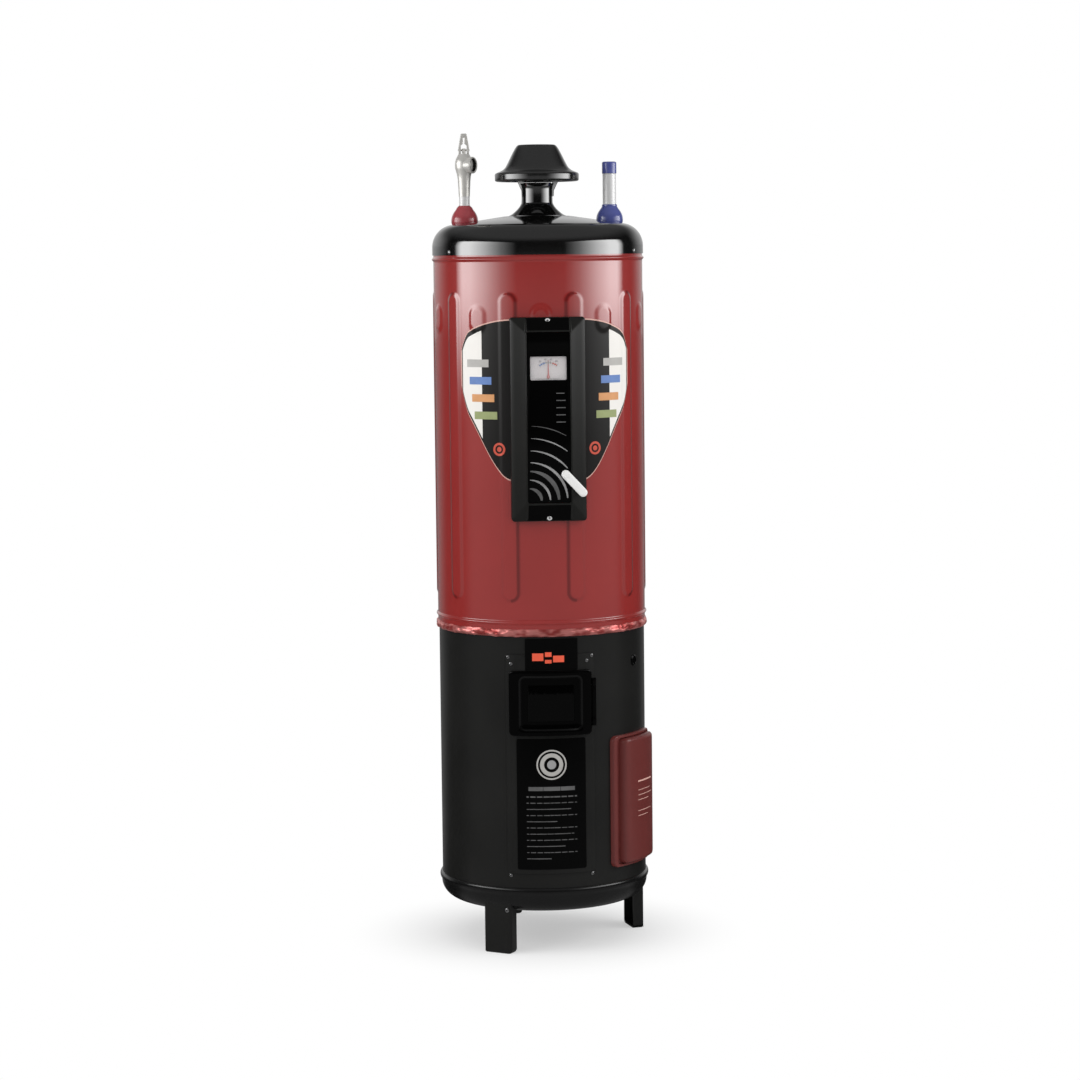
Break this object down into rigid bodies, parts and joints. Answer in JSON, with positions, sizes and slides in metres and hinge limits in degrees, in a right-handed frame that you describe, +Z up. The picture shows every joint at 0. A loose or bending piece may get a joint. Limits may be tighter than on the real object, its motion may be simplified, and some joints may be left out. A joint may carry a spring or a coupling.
{
  "type": "gas storage water heater",
  "caption": "Tall cylindrical gas storage water heater on legs, with fluted jacket, draft hood, pipe connections, thermometer panel, burner door and hinged control cover.",
  "frame": {"origin": "on the floor, on the axis of the cylindrical body, in the middle of the three feet", "axes": "+Z up along the body axis, -Y towards the front with panel and burner door, +X towards the cold pipe on the viewer's right"},
  "size_m": [0.4341, 0.5088, 1.628],
  "materials": {
    "red_enamel": "satin",
    "black_enamel": "satin",
    "gloss_black_enamel": "gloss",
    "black_plastic": "satin",
    "gloss_black_plastic": "gloss",
    "red_trim": "gloss",
    "zinc_steel": "satin",
    "chrome": "polished",
    "tank_steel": "matte",
    "glass_wool": "matte",
    "white_plastic": "gloss",
    "dial_white": "matte",
    "signal_red": "satin",
    "clear_lens": "clear",
    "dark_glass": "clear",
    "plate_black": "satin",
    "red_plastic": "satin",
    "blue_plastic": "satin",
    "cast_alloy": "satin",
    "cast_iron": "matte",
    "brass": "satin"
  },
  "bodies": {
    "heater": {"base_pan": "black_enamel", "leg_1": "black_enamel", "leg_2": "black_enamel", "leg_3": "black_enamel", "leg_screws": "zinc_steel", "lower_jacket": "black_enamel", "joint_trim": "red_trim", "upper_jacket": "red_enamel", "top_cover": "gloss_black_enamel", "cover_screws": "zinc_steel", "support_skirt": "zinc_steel", "tank": "tank_steel", "insulation": "glass_wool", "flue_tube": "zinc_steel", "flue_baffle": "zinc_steel", "flue_neck": "gloss_black_enamel", "draft_hood": "gloss_black_enamel", "hood_struts": "gloss_black_enamel", "cold_nipple": "zinc_steel", "cold_collar": "blue_plastic", "dip_tube": "white_plastic", "hot_nipple": "zinc_steel", "hot_collar": "red_plastic", "relief_body": "chrome", "relief_pin": "chrome", "anode_rod": "cast_alloy", "drain_valve": "brass", "panel_housing": "black_plastic", "panel_insert": "gloss_black_plastic", "panel_screws": "zinc_steel", "gauge_case": "black_plastic", "gauge_dial": "dial_white", "gauge_lens": "clear_lens", "gauge_stem": "zinc_steel", "selector_pivot": "white_plastic", "front_panel": "black_enamel", "door_hinge": "black_enamel", "instruction_plate": "plate_black", "control_hinge": "black_enamel", "gas_valve": "cast_alloy", "gas_inlet": "zinc_steel", "manifold": "cast_alloy", "main_burner": "cast_iron", "burner_bracket": "zinc_steel", "pilot_burner": "brass", "thermocouple": "brass", "thermostat_probe": "brass"},
    "burner_door": {"burner_door": "gloss_black_plastic", "sight_glass": "dark_glass"},
    "control_cover": {"control_cover": "red_enamel"},
    "thermostat_dial": {"thermostat_dial": "black_plastic"},
    "pilot_button": {"pilot_button": "signal_red"},
    "selector_lever": {"selector_lever": "white_plastic"},
    "gauge_needle": {"gauge_needle": "signal_red"},
    "relief_lever": {"relief_lever": "chrome"},
    "cold_cap": {"cold_cap": "blue_plastic"},
    "drain_handle": {"drain_handle": "signal_red"}
  },
  "joints": [
    {"name": "burner_door_hinge", "type": "hinge", "parent": "heater", "child": "burner_door", "pos_m": [0.0868, -0.19717, 0.506], "axis": [0, 0, 1], "range_deg": [0, 110]},
    {"name": "control_cover_hinge", "type": "hinge", "parent": "heater", "child": "control_cover", "pos_m": [0.2096, -0.05423, 0.298], "axis": [0, 0, 1], "range_deg": [0, 105]},
    {"name": "thermostat_turn", "type": "hinge", "parent": "heater", "child": "thermostat_dial", "pos_m": [0.16825, -0.13246, 0.312], "axis": [0.8192, -0.5736, 0], "range_deg": [0, 270]},
    {"name": "pilot_press", "type": "slide", "parent": "heater", "child": "pilot_button", "axis": [-0.8192, 0.5736, 0], "range_m": [0, 0.004], "stiffness_N_per_m": 400},
    {"name": "selector_turn", "type": "hinge", "parent": "heater", "child": "selector_lever", "pos_m": [0.031, -0.245, 0.96], "axis": [0, -1, 0], "range_deg": [0, 77]},
    {"name": "needle_turn", "type": "hinge", "parent": "heater", "child": "gauge_needle", "pos_m": [0, -0.2304, 1.1495], "axis": [0, -1, 0], "range_deg": [-38, 38], "stiffness_Nm_per_rad": 0.002},
    {"name": "relief_test_lever", "type": "hinge", "parent": "heater", "child": "relief_lever", "pos_m": [-0.146, 0, 1.595], "axis": [1, 0, 0], "range_deg": [0, 85]},
    {"name": "cold_cap_pull", "type": "slide", "parent": "heater", "child": "cold_cap", "axis": [0, 0, 1], "range_m": [0, 0.08]},
    {"name": "drain_turn", "type": "hinge", "parent": "heater", "child": "drain_handle", "pos_m": [0, 0.226, 0.712], "axis": [0, 0, 1], "range_deg": [0, 90]}
  ]
}
